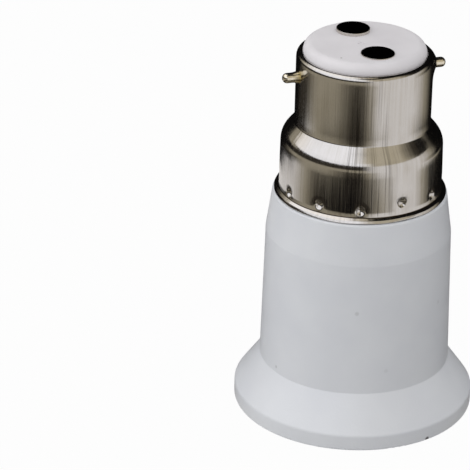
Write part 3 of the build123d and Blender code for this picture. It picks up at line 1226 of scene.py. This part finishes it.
TABLE, WALL, CEILING = 0.3, 1400, 2240
BESIDE_DRUM = (
    *((-80, GREY), (-62, DARK), (-44, BLACK), (-6, BLACK), (11, DARK), (31, GREY)),
    *((52, WHITE), (78, WHITE), (94, GREY), (110, BLACK)),
)
WHITE_LEFT = ((-104, WHITE), *BESIDE_DRUM)
HORIZON_RIGHT = ((4, DARK), (18, WHITE), (88, WHITE), (112, GREY), (126, BLACK))
HORIZON = ((-120, BLACK), (-100, DARK), *HORIZON_RIGHT)
UPPER_RIGHT = ((66, GREY), (92, DARK), (106, BLACK))


@dataclass
class Studio:
    """White floor and surround, soft lights, and the cards that the plating mirrors.

    The cards close round the object: each starts at the edge of the one before.
    """

    view: Viewpoint
    ambient: float = 0.545
    floor_ring: Span = (19.0, 2800.0)
    floor_level: float = -0.02
    floor_columns: int = 96
    floor_white: float = 0.97
    paper: str = "#B8B8B8"
    white: str = "#FFFFFF"
    first_edge: Span = (19.6, TABLE)
    cards: tuple[Card, ...] = (
        # Painted shadow: the two nearest cards are grey and dark where the object's own shadow lies
        # on the table, for the reflections to show it.
        Card("table_foot_shadow", (45, TABLE), ((-100, DARK), (-50, GREY), (50, GREY), (100, DARK))),
        Card("table_shadow", (86, TABLE), ((0, DARK),)),
        Card("table_inner", (97, TABLE), ((-180, BLACK), (-160, WHITE), *WHITE_LEFT)),
        Card("table_wide", (103, TABLE), ((-148, BLACK), (-134, WHITE), *WHITE_LEFT)),
        Card("table_wider", (110, TABLE), ((-136, BLACK), (-122, WHITE), *WHITE_LEFT)),
        Card("table_near", (122, TABLE), ((-112, BLACK), (-98, WHITE), *BESIDE_DRUM)),
        Card(
            "table_middle",
            (165, TABLE),
            (
                *((-142, BLACK), (-126, DARK), (-108, DARK), (-80, GREY), (-46, GREY), (-16, DARK)),
                *((2, DARK), (12, GREY), (28, WHITE), (92, WHITE), (120, GREY), (142, BLACK)),
            ),
        ),
        Card(
            "table_far",
            (600, TABLE),
            (
                *((-128, BLACK), (-104, GREY), (4, GREY), (20, WHITE), (88, WHITE), (104, GREY)),
                (122, BLACK),
            ),
        ),
        Card("table_end", (WALL, TABLE), HORIZON),
        Card("wall_low", (WALL, 320), HORIZON),
        Card(
            "wall_middle",
            (WALL, 560),
            ((-142, BLACK), (-130, GREY), (-112, GREY), (-98, DARK), *HORIZON_RIGHT),
        ),
        Card(
            "wall_high",
            (WALL, 1100),
            (
                *((-142, BLACK), (-130, GREY), (-108, WHITE), (-84, DAYLIGHT), (-2, DAYLIGHT)),
                *((22, GREY), *UPPER_RIGHT),
            ),
            1.5,
        ),
        Card(
            "wall_top",
            (WALL, CEILING),
            (
                *((-148, BLACK), (-130, WHITE), (-84, DAYLIGHT), (-10, DAYLIGHT)),
                *((12, GREY), *UPPER_RIGHT),
            ),
            1.6,
        ),
        Card(
            "ceiling",
            (500, CEILING),
            ((-148, BLACK), (-130, WHITE), (-34, WHITE), (-4, BLACK)),
            1.6,
        ),
        Card(
            "ceiling_middle",
            (1, CEILING),
            ((-150, GREY), (-120, WHITE), (-34, WHITE), (0, GREY)),
            1.6,
        ),
    )
    lights: tuple[SoftBox, ...] = (
        SoftBox("key_left", -60, 18, 500, (1500, 400), 1.22),
        SoftBox("top_soft", 90, 68, 420, (600, 600), 0.72),
    )

    def floor(self) -> None:
        """White paper floor that keeps the shadow, open under the mouth and clear from below."""
        angles = np.linspace(0, FULL_TURN, self.floor_columns, endpoint=False)
        level = np.array(self.floor_level)
        rings = np.stack([around(np.array(radius), level, angles) for radius in self.floor_ring])
        floor = solid_piece("paper_floor", rings.reshape(-1, 3), round_faces(rings, joined=False))
        if floor.data.polygons[0].normal.z < 0:
            floor.data.flip_normals()
        paper = bpy.data.materials.new("white_paper")
        on = Drawing(paper)
        seen = {0: on.seen_directly(), 1: self.floor_white}
        share = on.add(MATH, seen, operation="MULTIPLY")
        matt = on.add("ShaderNodeBsdfDiffuse", {"Color": linear(self.paper)})
        white = on.add("ShaderNodeEmission", {"Color": linear(self.white)})
        top = on.add("ShaderNodeMixShader", {0: share, 1: matt, 2: white})
        under = on.add("ShaderNodeNewGeometry").outputs["Backfacing"]
        clear = on.add("ShaderNodeBsdfTransparent")
        either = on.add("ShaderNodeMixShader", {0: under, 1: top, 2: clear})
        on.add("ShaderNodeOutputMaterial", {"Surface": either})
        floor.data.materials.append(paper)

    def surround(self) -> None:
        """White surround that lights softly."""
        world = bpy.data.worlds.new("white_surround")
        on = Drawing(world)
        span = {"Value": on.seen_directly(), "To Min": self.ambient, "To Max": 1.0}
        level = on.add(MAP_RANGE, span)
        white = on.add("ShaderNodeBackground", {"Color": linear(self.white), "Strength": level})
        on.add("ShaderNodeOutputWorld", {"Surface": white})
        bpy.context.scene.world = world

    def build(self) -> None:
        """Set up surround, floor, cards and lights."""
        self.surround()
        self.floor()
        edge = self.first_edge
        for card in self.cards:
            card.build(self.view, edge)
            edge = card.edge
        for light in self.lights:
            light.build(self.view)
        bpy.context.scene.view_settings.view_transform = "Standard"


def main() -> None:
    """Build the adapter's pieces, the studio and the camera, and log each new piece's face count.
    """
    logging.basicConfig(level=logging.INFO, format="%(name)s: %(message)s")
    pins = (BayonetPin(side) for side in Side)
    for part in (BayonetCap(), *pins, ScrewShell(), CentreContact()):
        piece = part.build()
        LOG.info("%s: %d faces", piece.name, len(piece.data.polygons))
    LOG.info("packed nodes dressed: %s", ", ".join(CadFinishes().dress()))
    view = Viewpoint()
    Studio(view).build()
    LOG.info("camera: %s", view.build().name)


if __name__ == "__main__":
    main()
